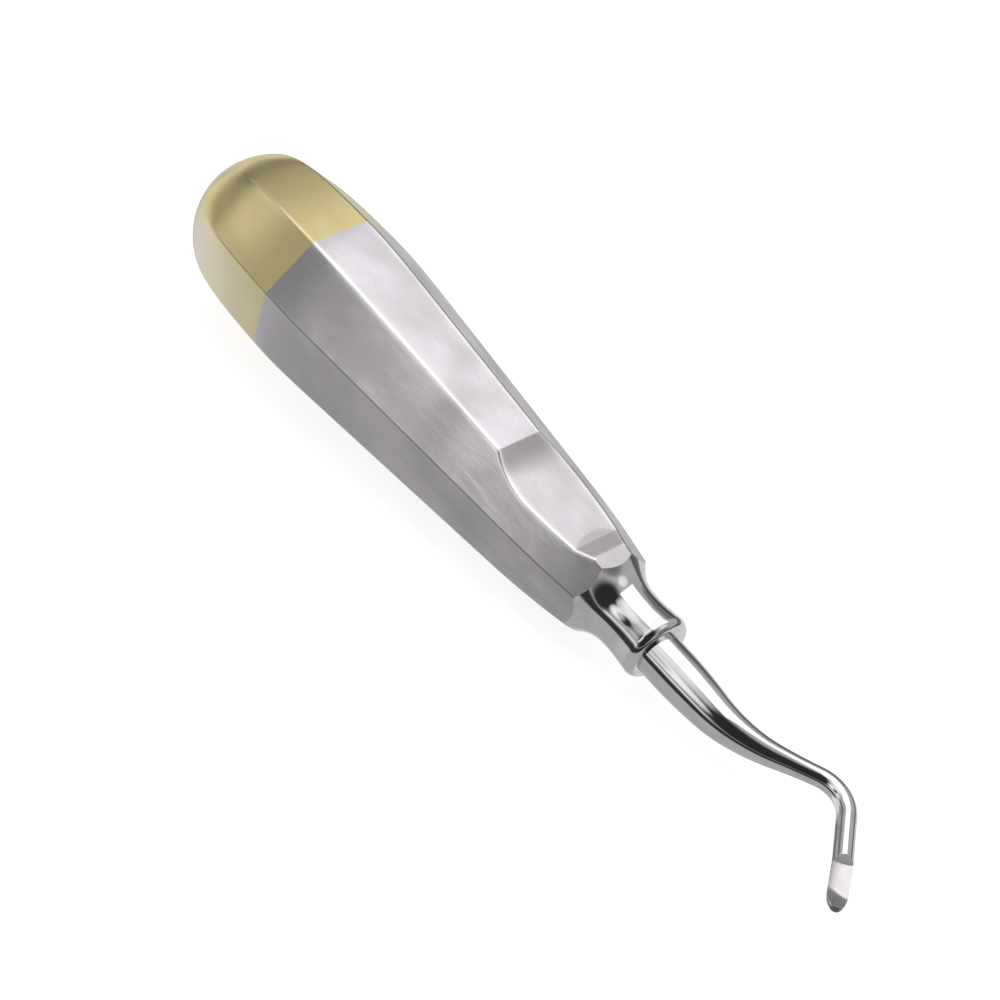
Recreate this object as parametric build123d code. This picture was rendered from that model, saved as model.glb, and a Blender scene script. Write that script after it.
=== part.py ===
"""Dental elevator: hollow octagonal handle, gilt end cap, turned neck and bent spoon blade.

Millimetres.  Every piece is drawn in the handle's own axis frame: X along the handle
axis from the butt (0) towards the blade, Z out of the facet with the thumb rest, and Y
the way the shank first bends.  The finished pieces are then tipped together, so that the
facet opposite the thumb rest lies flat on Z = 0 and the origin is the bottom centre.
"""
from build123d import *
from math import atan, cos, degrees, pi, sin
import os

# Handle form: a regular octagon whose half width across flats follows the facet line
SIDES = 8
CAP_LENGTH = 25.9
TAPER_START = 40.0
TAPER_END = 78.0
TAPER_START_HEIGHT = 11.85
TAPER_SLOPE = 0.0793
FRONT_ARC_RADIUS = 155.0
FORM_END = 97.0
FACET_RUNOUT = (-1.0, 5.4)
FACET_NOSE = (4.5, 9.35)
FACET_SHOULDER = (15.5, 12.07)
FACET_CREST = (25.9, 12.5)
FACET_RUNOUT_RISE = 0.9
NOSE_LINE = ((0.0, 0.0), (1.55, 5.2), (3.4, 7.9), (6.5, 10.62), (10.4, 12.5), (16.5, 14.4))
NOSE_END_RISE = 0.32
BLANK_HALF = 25.0
WALL = 1.0

# Thumb rest, sunk into one facet: depths are below that facet
REST_START = 69.4
REST_FLOOR_START = 78.4
REST_FLOOR_END = 87.8
REST_END = 90.8
REST_DEPTH = 1.6
REST_END_DEPTH = 0.95

# Neck bolster: points of the turned profile as (distance from the butt, radius)
SHELL_END = 91.0
SPIGOT_START = 84.0
SPIGOT_RADIUS = 5.6
FLARE_START = (92.4, 7.7)
FLARE_STEEPNESS = 1.0
FLARE_FOOT = (95.0, 5.72)
WAIST = (98.8, 5.06)
RIM_EDGE = (103.5, 5.45)
RIM_ROUND = (104.5, 5.05)
NECK_FACE = (104.9, 4.4)
BORE_RADIUS = 3.0

# Working end: corner points of its path in the bend plane, and the radii along it
SHANK_ROOT = (104.9, -0.42)
SWELL_BEND = (122.05, -0.42)
TIP_BEND = (137.0, 7.7)
BLADE_BEND = (145.8, -1.8)
BLADE_END = (151.2, -8.55)
SWELL_BEND_RADIUS = 23.6
TIP_BEND_RADIUS = 5.95
BLADE_BEND_RADIUS = 30.0
ROOT_RADIUS = 3.59
SLIM_RADIUS = 1.47
TAPER_FROM = 3.3
TAPER_TO = 29.9
SECTION_PITCH = 3.0

# Spoon blade, measured back from its tip
BLADE_LENGTH = 9.6
BLADE_HALF_WIDTH = 1.5
BLADE_TIP_TOP = 1.25
BLADE_TIP_BACK = 0.4
SPOON_LINE = ((-9.9, 2.4), (-8.6, 0.25), (-3.4, 0.1), (0.8, 1.3))
SPOON_ROUNDING = (0.8, 0.5)
SPOON_AXIS_HEIGHT = 7.0
TIP_ROUND_LENGTH = 3.4

# Hidden pieces
TANG_START = 60.0
TANG_TIP_RADIUS = 2.2
TANG_CONE = (66.0, 84.0)
PLUG_START = 61.0
PLUG_LENGTH = 4.0
PLUG_RADIUS = 8.8
PIN_X = 87.5
PIN_RADIUS = 1.0
PIN_INSET = 0.1
RING_START = 21.5
RING_LENGTH = 9.0
RING_RADIUS = 11.38
RING_WALL = 1.0
EDGE_BREAK = 0.3


def facet_height(x):
    """Half width across flats on the straight taper and on the long arc in front of it."""
    height = TAPER_START_HEIGHT - TAPER_SLOPE * (x - TAPER_START)
    past_taper = max(0.0, x - TAPER_END)
    return height - past_taper**2 / (2 * FRONT_ARC_RADIUS)


def side_plate(outline, half_width=BLANK_HALF):
    """A face drawn in X and Z from its closed outline, thickened both ways along Y."""
    return extrude(Plane.XZ * make_face(outline), half_width, both=True)


def turned(outline):
    """A solid turned about the handle axis from its closed outline."""
    return revolve(Plane.XZ * make_face(outline), Axis.X)


def mirrored_outline(top):
    """Close an open top line with its mirror image below the axis."""
    start = top @ 0
    end = top @ 1
    bottom = mirror(top, Plane.XZ)
    rear_line = Line((start.X, start.Y), (start.X, -start.Y))
    front_line = Line((end.X, end.Y), (end.X, -end.Y))
    return top + bottom + rear_line + front_line


def facet_slab(inset):
    """The slab between one pair of opposite facets."""
    taper_start = (TAPER_START, facet_height(TAPER_START) - inset)
    taper_end = (TAPER_END, facet_height(TAPER_END) - inset)
    form_end = (FORM_END, facet_height(FORM_END) - inset)
    rear_points = [(x, y - inset) for x, y in (FACET_RUNOUT, FACET_NOSE, FACET_SHOULDER, FACET_CREST)]
    rear = Spline(*rear_points, taper_start, tangents=[(1, FACET_RUNOUT_RISE), (1, -TAPER_SLOPE)])
    taper = Line(taper_start, taper_end)
    front = TangentArc(taper_end, form_end, tangent=(1, -TAPER_SLOPE))
    return side_plate(mirrored_outline(Wire([*rear.edges(), *taper.edges(), *front.edges()])))


def nose_blank(inset):
    """The turned envelope that rounds the butt where the facets run out."""
    length, width = NOSE_LINE[-1]
    shrink_x = 1 - inset / length
    shrink_y = 1 - inset / width
    points = [(length - (length - x) * shrink_x, y * shrink_y) for x, y in NOSE_LINE]
    nose = Spline(*points, tangents=[(0, 1), (1, NOSE_END_RISE)])
    shoulder = points[-1]
    outer = Polyline(shoulder, (CAP_LENGTH, BLANK_HALF), (FORM_END, BLANK_HALF), (FORM_END, 0), (inset, 0))
    return turned(nose + outer)


def octagon_form(inset=0.0):
    """The whole handle form with every face moved in by the inset."""
    slab = facet_slab(inset)
    form = nose_blank(inset)
    for turn in range(SIDES // 2):
        form = form & (Rot(X=turn * 360 / SIDES) * slab)
    return form


def thumb_rest_cut(inset=0.0):
    """The waste above the thumb rest's floor: a curved entry, a long floor and a short rise."""
    start = (REST_START, facet_height(REST_START) - inset)
    floor_start = (REST_FLOOR_START, facet_height(REST_FLOOR_START) - REST_DEPTH - inset)
    floor_end = (REST_FLOOR_END, facet_height(REST_FLOOR_END) - REST_END_DEPTH - inset)
    end = (REST_END, facet_height(REST_END) - inset)
    floor = Line(floor_start, floor_end)
    entry = TangentArc(floor_start, start, tangent=(floor @ 0) - (floor @ 1))
    rise = Line(floor_end, end)
    over = Polyline(end, (REST_END, BLANK_HALF), (REST_START, BLANK_HALF), start)
    return side_plate(entry + floor + rise + over)


def span(start, end):
    """A round bar about the handle axis from start to end, larger than the handle."""
    return Pos(start, 0, 0) * Rot(Y=90) * Cylinder(
        BLANK_HALF, end - start, align=(Align.CENTER, Align.CENTER, Align.MIN)
    )


def handle_skin():
    """The thin wall of the whole handle, thumb rest included."""
    outer = octagon_form() - thumb_rest_cut()
    inner = octagon_form(WALL) - thumb_rest_cut(WALL)
    return outer - inner


def end_cap(skin):
    """Domed end cap."""
    return skin & span(-1, CAP_LENGTH)


def handle_shells(skin):
    """Pressed half shells, parted along two opposite ridges."""
    body = skin & span(CAP_LENGTH, SHELL_END)
    parting_plane = Plane.XY.rotated((180 / SIDES, 0, 0))
    upper = split(body, parting_plane, keep=Keep.TOP)
    lower = split(body, parting_plane, keep=Keep.BOTTOM)
    return upper, lower


def neck_bolster():
    """Turned neck with an octagonal root flush with the facets and a spigot behind it."""
    flare = Spline(FLARE_START, FLARE_FOOT, WAIST, tangents=[(1, -FLARE_STEEPNESS), (1, 0)])
    barrel = Spline(WAIST, RIM_EDGE, tangents=[(1, 0), (1, 0.1)])
    rim = ThreePointArc(RIM_EDGE, RIM_ROUND, NECK_FACE)
    rear = Polyline(
        NECK_FACE,
        (NECK_FACE[0], BORE_RADIUS),
        (SPIGOT_START, BORE_RADIUS),
        (SPIGOT_START, SPIGOT_RADIUS),
        (SHELL_END, SPIGOT_RADIUS),
        (SHELL_END, FLARE_START[1]),
        FLARE_START,
    )
    return turned(flare + barrel + rim + rear) & neck_envelope()


def neck_envelope():
    """The octagon form behind the waist and plain stock in front of it."""
    root = octagon_form() & span(SPIGOT_START, FLARE_FOOT[0])
    return root + span(FLARE_FOOT[0], NECK_FACE[0])


def shank_radius(distance):
    """Radius of the shank, easing from the root to the slim part."""
    ratio = (distance - TAPER_FROM) / (TAPER_TO - TAPER_FROM)
    ratio = min(1.0, max(0.0, ratio))
    return ROOT_RADIUS + (SLIM_RADIUS - ROOT_RADIUS) * (1 - cos(pi * ratio)) / 2


def shank_section(path, distance):
    """Cross-section of the shank or blade at a distance along the path."""
    half_width = half_height = shank_radius(distance)
    middle = 0.0
    into_blade = distance - (path.length - BLADE_LENGTH)
    if into_blade > 0:
        ratio = into_blade / BLADE_LENGTH
        half_width += (BLADE_HALF_WIDTH - SLIM_RADIUS) * min(1.0, 3 * ratio)
        top = SLIM_RADIUS + (BLADE_TIP_TOP - SLIM_RADIUS) * ratio**2
        back = -SLIM_RADIUS + (BLADE_TIP_BACK + SLIM_RADIUS) * ratio**2
        half_height = (top - back) / 2
        middle = (top + back) / 2
    fraction = distance / path.length
    plane = Plane(origin=path @ fraction, x_dir=(0, 0, 1), z_dir=path % fraction)
    return plane * Pos(middle, 0) * Ellipse(half_height, half_width)


def spoon_tools(path):
    """The gouge that hollows the spoon and the waste beside its rounded tip."""
    blade = Plane(origin=path @ 1, x_dir=path % 1, z_dir=(0, 0, 1))
    floor = FilletPolyline(*SPOON_LINE, radius=list(SPOON_ROUNDING))
    back, front = SPOON_LINE[0][0], SPOON_LINE[-1][0]
    over = Polyline(floor @ 1, (front, SPOON_AXIS_HEIGHT), (back, SPOON_AXIS_HEIGHT), floor @ 0)
    gouge_axis = Axis((0, 0, SPOON_AXIS_HEIGHT), (1, 0, 0))
    scoop = revolve(Plane.XZ * make_face(floor + over), gouge_axis)
    plan = Pos(-TIP_ROUND_LENGTH, 0) * Ellipse(TIP_ROUND_LENGTH, BLADE_HALF_WIDTH)
    stock = Pos(-TIP_ROUND_LENGTH, 0) * Rectangle(
        2 * TIP_ROUND_LENGTH, 4 * BLADE_HALF_WIDTH, align=(Align.MIN, Align.CENTER)
    )
    waste = extrude(stock - plan, 4 * BLADE_HALF_WIDTH, both=True)
    return blade * scoop, blade * waste


def working_end():
    """Forged tang, bent shank and spoon blade in one piece."""
    path = FilletPolyline(
        SHANK_ROOT,
        SWELL_BEND,
        TIP_BEND,
        BLADE_BEND,
        BLADE_END,
        radius=[SWELL_BEND_RADIUS, TIP_BEND_RADIUS, BLADE_BEND_RADIUS],
    )
    count = round(path.length / SECTION_PITCH)
    sections = [shank_section(path, path.length * i / count) for i in range(count + 1)]
    shank = loft(sections)
    for tool in spoon_tools(path):
        shank = shank - tool
    tang_outline = Polyline(
        (TANG_START, 0),
        (TANG_START, TANG_TIP_RADIUS),
        (TANG_CONE[0], TANG_TIP_RADIUS),
        (TANG_CONE[1], BORE_RADIUS),
        (SHANK_ROOT[0], BORE_RADIUS),
        (SHANK_ROOT[0], 0),
        (TANG_START, 0),
    )
    return shank + turned(tang_outline)


def cross_pin():
    """Pin through the spigot and the tang, which fixes the blade's turn in the handle."""
    length = 2 * (SPIGOT_RADIUS - PIN_INSET)
    pin = Cylinder(PIN_RADIUS, length)
    return Pos(PIN_X, 0, 0) * Rot(X=90) * chamfer(pin.edges().filter_by(GeomType.CIRCLE), EDGE_BREAK / 2)


def steady_plug():
    """Disc between the shells that centres the rear end of the tang."""
    outline = Polyline(
        (PLUG_START, TANG_TIP_RADIUS),
        (PLUG_START, PLUG_RADIUS - EDGE_BREAK),
        (PLUG_START + EDGE_BREAK, PLUG_RADIUS),
        (PLUG_START + PLUG_LENGTH, PLUG_RADIUS),
        (PLUG_START + PLUG_LENGTH, TANG_TIP_RADIUS),
        (PLUG_START, TANG_TIP_RADIUS),
    )
    return turned(outline)


def backing_ring():
    """Ring behind the joint between the end cap and the shells."""
    ring_end = RING_START + RING_LENGTH
    outline = Polyline(
        (RING_START, RING_RADIUS - RING_WALL),
        (RING_START, RING_RADIUS - EDGE_BREAK),
        (RING_START + EDGE_BREAK, RING_RADIUS),
        (ring_end - EDGE_BREAK, RING_RADIUS),
        (ring_end, RING_RADIUS - EDGE_BREAK),
        (ring_end, RING_RADIUS - RING_WALL),
        (RING_START, RING_RADIUS - RING_WALL),
    )
    return turned(outline)


def build_pieces():
    """All pieces in the handle's axis frame, by node name."""
    skin = handle_skin()
    upper, lower = handle_shells(skin)
    pin_hole = Pos(PIN_X, 0, 0) * Rot(X=90) * Cylinder(PIN_RADIUS, 2 * BLANK_HALF)
    return {
        "end_cap": end_cap(skin),
        "cap_backing_ring": backing_ring(),
        "handle_shell_upper": upper,
        "handle_shell_lower": lower,
        "neck_bolster": neck_bolster() - pin_hole,
        "tang_steady_plug": steady_plug(),
        "tang_cross_pin": cross_pin(),
        "working_end": working_end() - pin_hole,
    }


def resting_pose(pieces):
    """Place that lays the lower facet on Z = 0 with the origin at the bottom centre."""
    lean = atan(TAPER_SLOPE)
    lift = TAPER_START * sin(lean) + TAPER_START_HEIGHT * cos(lean)
    tipped = Pos(0, 0, lift) * Rot(Y=degrees(lean))
    box = Compound(children=[tipped * piece for piece in pieces.values()]).bounding_box()
    return Pos(-box.center().X, 0, 0) * tipped


def main():
    pieces = build_pieces()
    place = resting_pose(pieces)
    os.makedirs("parts", exist_ok=True)
    for name, piece in pieces.items():
        export_step(place * piece, f"parts/{name}.step")


main()
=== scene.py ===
"""Looks of the dental elevator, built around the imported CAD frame."""
from math import atan, cos, pi, radians, sin

import bmesh
import bpy
import numpy as np
from mathutils import Matrix, Vector


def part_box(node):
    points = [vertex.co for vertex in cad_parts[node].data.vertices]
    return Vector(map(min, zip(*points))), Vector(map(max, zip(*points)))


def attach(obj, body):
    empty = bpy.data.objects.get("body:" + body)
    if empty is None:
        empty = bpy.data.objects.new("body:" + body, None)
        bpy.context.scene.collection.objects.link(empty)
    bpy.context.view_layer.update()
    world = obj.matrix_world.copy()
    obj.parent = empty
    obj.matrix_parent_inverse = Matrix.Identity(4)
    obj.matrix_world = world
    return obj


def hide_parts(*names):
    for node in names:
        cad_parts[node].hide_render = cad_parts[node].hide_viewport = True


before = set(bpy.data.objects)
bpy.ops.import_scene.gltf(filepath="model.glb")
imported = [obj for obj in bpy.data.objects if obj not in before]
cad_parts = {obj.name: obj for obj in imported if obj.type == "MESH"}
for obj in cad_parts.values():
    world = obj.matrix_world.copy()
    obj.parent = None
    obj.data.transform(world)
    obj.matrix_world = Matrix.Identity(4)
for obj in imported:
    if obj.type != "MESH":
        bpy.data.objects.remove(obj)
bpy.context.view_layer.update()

# ---------------------------------------------------------------- dimensions, millimetres
# Handle form, in the handle's own axis frame: X from the butt to the blade, Z out of the
# thumb-rest facet
MM = 0.001
WELD_DISTANCE = 0.0002 * MM
SIDES = 8
CAP_LENGTH = 25.9
TAPER_START = 40.0
TAPER_END = 78.0
TAPER_START_HEIGHT = 11.85
TAPER_SLOPE = 0.0793
FRONT_ARC_RADIUS = 155.0
REAR_X = (-1.0, 4.5, 15.5, 25.9, 40.0)
REAR_HEIGHT = (5.4, 9.35, 12.07, 12.5, 11.85)
REAR_SLOPE = (0.9, 0.517, 0.086, 0.023, -0.0793)
WALL = 1.0
RIDGE_ROUND = 0.7
SHARP_ANGLE = 28
THUMB_FACET = 2

# Turned envelope that rounds the butt; its radius follows the root of the distance
NOSE_LENGTH = 16.5
NOSE_ROOT_X = (0.0, 1.245, 1.844, 2.55, 3.225, 4.062)
NOSE_RADIUS = (0.0, 5.2, 7.9, 10.62, 12.5, 14.4)
NOSE_RATE = (4.4, 4.33, 4.43, 3.16, 2.3, 2.6)
NOSE_BLEND = 0.6
NOSE_OPENING = 1.25

# Thumb rest
REST_START = 69.4
REST_FLOOR_START = 78.4
REST_FLOOR_END = 87.8
REST_END = 90.8
REST_DEPTH = 1.6
REST_END_DEPTH = 0.95
REST_LEAD = 3
REST_BLEND = 0.12

# Neck
SHELL_END = 91.0
SPIGOT_START = 84.0
SPIGOT_RADIUS = 5.6
FLARE_X = (92.4, 95.0, 98.8, 103.5)
FLARE_RADIUS = (7.7, 5.72, 5.06, 5.45)
FLARE_SLOPE = (-1.0, -0.474, 0.0, 0.1)
RIM_EDGE = (103.5, 5.45)
NECK_FACE = (104.9, 4.4)
BORE_RADIUS = 3.0

# Working end: path corners in the bend plane and the radii along it
PATH = ((104.9, -0.42), (122.05, -0.42), (137.0, 7.7), (145.8, -1.8), (151.2, -8.55))
PATH_RADII = (23.6, 5.95, 30.0)
ROOT_RADIUS = 3.59
SLIM_RADIUS = 1.47
TAPER_FROM = 3.3
TAPER_TO = 29.9
TANG = ((60.0, 2.2), (66.0, 2.2), (84.0, 3.0), (104.9, 3.0))
BLADE_LENGTH = 9.6
BLADE_HALF_WIDTH = 1.5
BLADE_WIDEN_SHARE = 3
BLADE_TIP_TOP = 1.25
BLADE_TIP_BACK = 0.4
BLADE_TIP_MIDDLE = 0.7
BLADE_MIN_THICKNESS = 0.1
TIP_ROUND_LENGTH = 3.4

# Scoop of the blade: (distance back from the tip, height) along its floor
SPOON_LINE = ((9.9, 2.4), (8.6, 0.25), (3.4, 0.1), (-0.3, 1.32))
SPOON_BLEND = (0.12, 0.12)
SPOON_EDGE_BLEND = 0.06
SPOON_AXIS_HEIGHT = 7.0
SPOON_LEAD = 2
SPOON_HALF_WIDTH = 1.9
SPOON_MARGIN = 0.3
CREASE_SLANT = 0.4
GROOVE_PITCH = 0.38
GROOVE_DEPTH = 0.05
GROOVE_FADE = 0.8

# ---------------------------------------------------------------- density of the meshes
FLAT_STEPS = (0.0, 0.012, 0.06, 0.14, 0.24, 0.36, 0.5, 0.64, 0.76, 0.86, 0.94, 0.988)
ARC_STEPS = 6
PER_SIDE = len(FLAT_STEPS) + ARC_STEPS
BUTT_STEPS = 70
INNER_NOSE_STEPS = 20
CAP_SIDE_STEPS = 24
# Runs along the shells, as (start, end, stations)
SHELL_RUNS = (
    (CAP_LENGTH, 66, 42),
    (66, 72, 42),
    (72, 87, 50),
    (87, SHELL_END, 34),
)
ROOT_RINGS = 10
FLARE_RINGS = 60
FLARE_BUNCHING = 1.25
RIM_RINGS = 14
FACE_RADII = (3.9, 3.6, ROOT_RADIUS - 0.3)
HALVINGS = 40
AROUND = 160
AROUND_ANGLES = [2 * pi * i / AROUND for i in range(AROUND)]
# Distances back from the tip where the blade's stations get closer, and stations per run
BLADE_FROM, TIP_FROM = 11, 4
SHANK_STEPS, BLADE_STEPS, TIP_STEPS = 200, 90, 66
TIP_LAST_ANGLE = 86

# ---------------------------------------------------------------- where the finishes are
RIDGE_WEAR = (1.0,) * 4 + (0.55, 0.1) + (0.0,) * 7 + (0.1, 0.55) + (1.0,) * 3
WORN_RIDGES = (THUMB_FACET - 1, THUMB_FACET)
FAINT_WEAR = 0.15
CAP_WEAR = 0.5
RIDGE_FADE_START = 7.0
RIDGE_FADE_LENGTH = 4.0

# Painted shade beside the plating and at both ends of the thumb rest
PLATING_SHADE_END = 44.0
REST_SHADE_SHARE = 0.7
REST_SHADE_END = 74.5
REST_SHADE_FADE = 3.5
REST_SHADE_EDGE = 0.3
REST_SHADE_BULGE = 1.5
REST_HALF_WIDTH = 4.0

# Marks of handling: share by facet, and where along the handle they grow
HANDLED_FACETS = {THUMB_FACET: 1.0, THUMB_FACET - 1: 0.15}
HANDLED_ELSEWHERE = 0.4
HANDLED_LEAST = 0.1
HANDLED_FROM = 50.0
HANDLED_RAMP = 28.0

# Painted pale sheen on the gold: none where the surface faces FULL_GOLD_ANGLE, most on the near
# side by the butt
FULL_GOLD_ANGLE = radians(112.5)
FLANK_LIMIT = 0.8
FLANK_FADE = 0.25
FLANK_FAR_SHARE = 0.2
FLANK_FROM = 10
FLANK_DROP = 0.6
FLANK_LEAST_REACH = 4.0

# Painted shade at the sides and the tip of the blade, ground finish in its scoop
SHADE_START = -8.0
SHADE_RAMP = 3.0
SIDE_FROM = 0.8
SIDE_RAMP = 0.1
TIP_SHADE_LENGTH = 0.55
TIP_SHADE_RAMP = 0.3
GROUND_RAMP = 0.04


# ---------------------------------------------------------------- shape helpers
def share_past(value, start, length):
    """Share of the way from start over a length, which may be negative, held to 0 and 1."""
    return float(np.clip((value - start) / length, 0.0, 1.0))


def hermite(x, knots, values, slopes):
    """Smooth curve through knots with given slopes."""
    k = int(np.clip(np.searchsorted(knots, x) - 1, 0, len(knots) - 2))
    step = knots[k + 1] - knots[k]
    t = (x - knots[k]) / step
    rise = values[k + 1] - values[k]
    cubic = t * t * (3 - 2 * t)
    start = t * (1 - t) ** 2 * slopes[k] * step
    end = t * t * (t - 1) * slopes[k + 1] * step
    return values[k] + rise * cubic + start + end


def soft_min(a, b, blend):
    """The smaller of two values, rounded where they cross."""
    h = np.clip(0.5 + 0.5 * (b - a) / blend, 0.0, 1.0)
    return b * (1 - h) + a * h - blend * h * (1 - h)


def facet_height(x):
    """Half width across flats."""
    if x < TAPER_START:
        return hermite(x, REAR_X, REAR_HEIGHT, REAR_SLOPE)
    height = TAPER_START_HEIGHT - TAPER_SLOPE * (x - TAPER_START)
    return height - max(0.0, x - TAPER_END) ** 2 / (2 * FRONT_ARC_RADIUS)


def rest_height(x):
    """Height of the thumb rest's surface above the axis."""
    floor_start = np.array((REST_FLOOR_START, facet_height(REST_FLOOR_START) - REST_DEPTH))
    floor_end = np.array((REST_FLOOR_END, facet_height(REST_FLOOR_END) - REST_END_DEPTH))
    along = (floor_end - floor_start) / np.linalg.norm(floor_end - floor_start)
    normal = np.array((-along[1], along[0]))
    chord = np.array((REST_START, facet_height(REST_START))) - floor_start
    radius = chord @ chord / (2 * normal @ chord)
    centre = floor_start + radius * normal
    if x < REST_FLOOR_START:
        reach = max(radius**2 - (x - centre[0]) ** 2, 0.0)
        return centre[1] - reach**0.5
    if x < REST_FLOOR_END:
        return floor_start[1] + (x - REST_FLOOR_START) * along[1] / along[0]
    rise = (facet_height(REST_END) - floor_end[1]) / (REST_END - REST_FLOOR_END)
    return floor_end[1] + (x - REST_FLOOR_END) * rise


def facet_offsets(x, inset):
    """Distance of each facet from the axis at x."""
    offsets = np.full(SIDES, facet_height(x) - inset)
    if REST_START - REST_LEAD < x:
        top = soft_min(facet_height(x), rest_height(x), REST_BLEND)
        offsets[THUMB_FACET] = top - inset
    return offsets


def ridge_centres(offsets, normals):
    """Centre of the rounding at each ridge of the section."""
    centres = []
    for k in range(SIDES):
        pair = np.array((normals[k], normals[(k + 1) % SIDES]))
        inner = np.array((offsets[k], offsets[(k + 1) % SIDES])) - RIDGE_ROUND
        centres.append(np.linalg.solve(pair, inner))
    return centres


def section(x, inset=0.0):
    """One octagonal section as points (y, z), starting in the middle of a ridge."""
    angles = [2 * pi * k / SIDES for k in range(SIDES)]
    normals = np.array([(cos(a), sin(a)) for a in angles])
    centres = ridge_centres(facet_offsets(x, inset), normals)
    points = []
    for k in range(SIDES):
        for step in range(ARC_STEPS // 2, ARC_STEPS + 1):
            angle = angles[k] + (pi / 4) * step / ARC_STEPS
            points.append(centres[k] + RIDGE_ROUND * np.array((cos(angle), sin(angle))))
        facet = (k + 1) % SIDES
        start = centres[k] + RIDGE_ROUND * normals[facet]
        end = centres[facet] + RIDGE_ROUND * normals[facet]
        for share in FLAT_STEPS[1:]:
            points.append(start + share * (end - start))
        points.append(end)
        for step in range(1, ARC_STEPS // 2):
            angle = angles[facet] + (pi / 4) * step / ARC_STEPS
            points.append(centres[facet] + RIDGE_ROUND * np.array((cos(angle), sin(angle))))
    return np.array(points)


def nose_radius(x, inset=0.0):
    """Radius of the turned envelope at the butt."""
    width = NOSE_RADIUS[-1]
    if x >= NOSE_LENGTH:
        return width - inset + (x - NOSE_LENGTH) * NOSE_OPENING
    outer_x = NOSE_LENGTH - (NOSE_LENGTH - x) * NOSE_LENGTH / (NOSE_LENGTH - inset)
    radius = hermite(max(outer_x, 0.0) ** 0.5, NOSE_ROOT_X, NOSE_RADIUS, NOSE_RATE)
    return radius * (1 - inset / width)


def handle_ring(x, inset=0.0):
    """Handle section at x as points (x, y, z), rounded at the butt by the turned envelope."""
    flat = section(max(x, 0.0), inset)
    if x < CAP_LENGTH:
        radii = np.hypot(flat[:, 0], flat[:, 1])
        limit = nose_radius(x, inset)
        blend = min(NOSE_BLEND, 0.5 * limit + 1e-6)
        flat = flat * (soft_min(radii, limit, blend) / radii)[:, None]
    return np.column_stack((np.full(len(flat), x), flat))


def place_in_frame():
    """Matrix from the handle's axis frame in millimetres to the part's frame in metres."""
    lean = atan(TAPER_SLOPE)
    lift = TAPER_START * sin(lean) + TAPER_START_HEIGHT * cos(lean)
    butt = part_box("end_cap")[0].x / MM
    tipped = Matrix.Rotation(lean, 4, "Y")
    ring = [tipped @ Vector(p) for x in BUTT_XS for p in handle_ring(x)]
    shift = butt - min(p.x for p in ring)
    return Matrix.Scale(MM, 4) @ Matrix.Translation((shift, 0, lift)) @ tipped


BUTT_XS = [NOSE_LENGTH * (1 - cos(radians(a))) for a in np.linspace(0, 90, BUTT_STEPS)[1:]]
PLACE = place_in_frame()


def weld(mesh):
    """Merge points that fall on one another, such as those on a clipped corner."""
    work = bmesh.new()
    work.from_mesh(mesh)
    bmesh.ops.remove_doubles(work, verts=work.verts, dist=WELD_DISTANCE)
    work.to_mesh(mesh)
    work.free()


def build(name, points, faces, slot, nodes, **finish):
    """A smooth-shaded piece from points in the handle's frame, with finish shares per point."""
    mesh = bpy.data.meshes.new(name)
    placed = [PLACE @ Vector(p) for p in points]
    mesh.from_pydata(placed, [], faces)
    for key, shares in finish.items():
        mesh.attributes.new(key, "FLOAT", "POINT").data.foreach_set("value", shares)
    mesh.validate()
    weld(mesh)
    mesh.shade_smooth()
    mesh.set_sharp_from_angle(angle=radians(SHARP_ANGLE))
    piece = bpy.data.objects.new(name, mesh)
    bpy.context.scene.collection.objects.link(piece)
    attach(piece, "root")
    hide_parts(*nodes)
    return piece


def ring_faces(first, second, count):
    """Quads between two closed rings whose points start at the given indices."""
    return [
        (first + i, first + (i + 1) % count, second + (i + 1) % count, second + i)
        for i in range(count)
    ]


def skin_of_rings(rings, start_pole=None, end_pole=None, looped=False):
    """Points and quads over a run of rings, with a pole at each end or looped where asked."""
    count = len(rings[0])
    points = [tuple(p) for ring in rings for p in ring]
    faces = []
    for r in range(len(rings) - 1):
        faces += ring_faces(r * count, (r + 1) * count, count)
    last = (len(rings) - 1) * count
    if looped:
        faces += ring_faces(last, 0, count)
    if start_pole is not None:
        points.append(start_pole)
        faces += [((i + 1) % count, i, len(points) - 1) for i in range(count)]
    if end_pole is not None:
        points.append(end_pole)
        faces += [(last + i, last + (i + 1) % count, len(points) - 1) for i in range(count)]
    return points, faces


# ---------------------------------------------------------------- handle
def ridge_wear(index):
    """Wear at a point of the section: bright on the ridges beside the thumb rest."""
    ridge = round((index - ARC_STEPS / 2 + 1) / PER_SIDE) % SIDES
    return RIDGE_WEAR[index % PER_SIDE] * (1.0 if ridge in WORN_RIDGES else FAINT_WEAR)


def ridge_fade(rings):
    """How far the ridges have come out of the dome at each ring."""
    return [share_past(ring[0][0], RIDGE_FADE_START, RIDGE_FADE_LENGTH) for ring in rings]


def painted_shade_share(index, point):
    """Share of the painted shade: by the plating on one facet, at both ends of the thumb rest.
    """
    x, y, _ = point
    facet = index // PER_SIDE + 1
    # Painted shade on the facet beside the plating, darkest next to the plating
    if facet == THUMB_FACET + 1:
        return share_past(x, PLATING_SHADE_END, CAP_LENGTH - PLATING_SHADE_END)
    if facet != THUMB_FACET or not REST_START < x < REST_FLOOR_END:
        return 0.0
    # Painted shade at the steep start of the thumb rest and along the curved edge of its end
    # ramp
    start = share_past(x, REST_SHADE_END, -REST_SHADE_FADE)
    bulge = REST_SHADE_BULGE * max(0.0, 1 - (y / REST_HALF_WIDTH) ** 2)
    end = share_past(x - REST_FLOOR_END + bulge, 0.0, REST_SHADE_EDGE)
    return REST_SHADE_SHARE * max(start, end)


def handled_share(index, x):
    """Share of handling marks: most on the facet beside the thumb rest's, toward the neck."""
    facet = HANDLED_FACETS.get(index // PER_SIDE, HANDLED_ELSEWHERE)
    return facet * max(HANDLED_LEAST, share_past(x, HANDLED_FROM, HANDLED_RAMP))


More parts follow.
